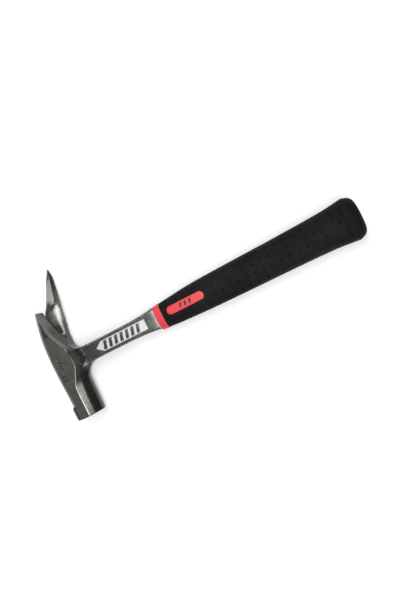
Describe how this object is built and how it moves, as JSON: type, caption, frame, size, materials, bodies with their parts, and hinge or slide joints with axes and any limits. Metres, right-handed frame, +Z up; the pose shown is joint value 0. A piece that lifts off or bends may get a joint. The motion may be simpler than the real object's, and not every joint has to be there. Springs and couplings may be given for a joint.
{
  "type": "roofing hammer",
  "caption": "All-steel carpenter's roofing hammer with a square poll, a short nail-pulling prong beside a long spike, and a flared dimpled rubber grip.",
  "frame": {"origin": "centre of the striking face", "axes": "+X from the head along the handle to the butt, +Y from the striking face along the head to the spike, +Z up with the hammer lying on its side, spike prong underneath"},
  "size_m": [0.3355, 0.1513, 0.03],
  "materials": {
    "forged_steel": "satin forged and ground tool steel",
    "magnet": "bright nickel plate",
    "collar_plastic": "semi-gloss red",
    "sleeve_plastic": "matt black moulding",
    "grip_rubber": "matt black soft grip",
    "badge_plastic": "semi-gloss red",
    "badge_inlay": "matt black inlay"
  },
  "bodies": {
    "root": {"forged_body": "forged_steel", "nail_magnet": "magnet", "front_collar": "collar_plastic", "inner_sleeve": "sleeve_plastic", "rubber_grip": "grip_rubber", "badge_plate_top": "badge_plastic", "badge_plate_bottom": "badge_plastic", "badge_marks": "badge_inlay"}
  },
  "joints": []
}
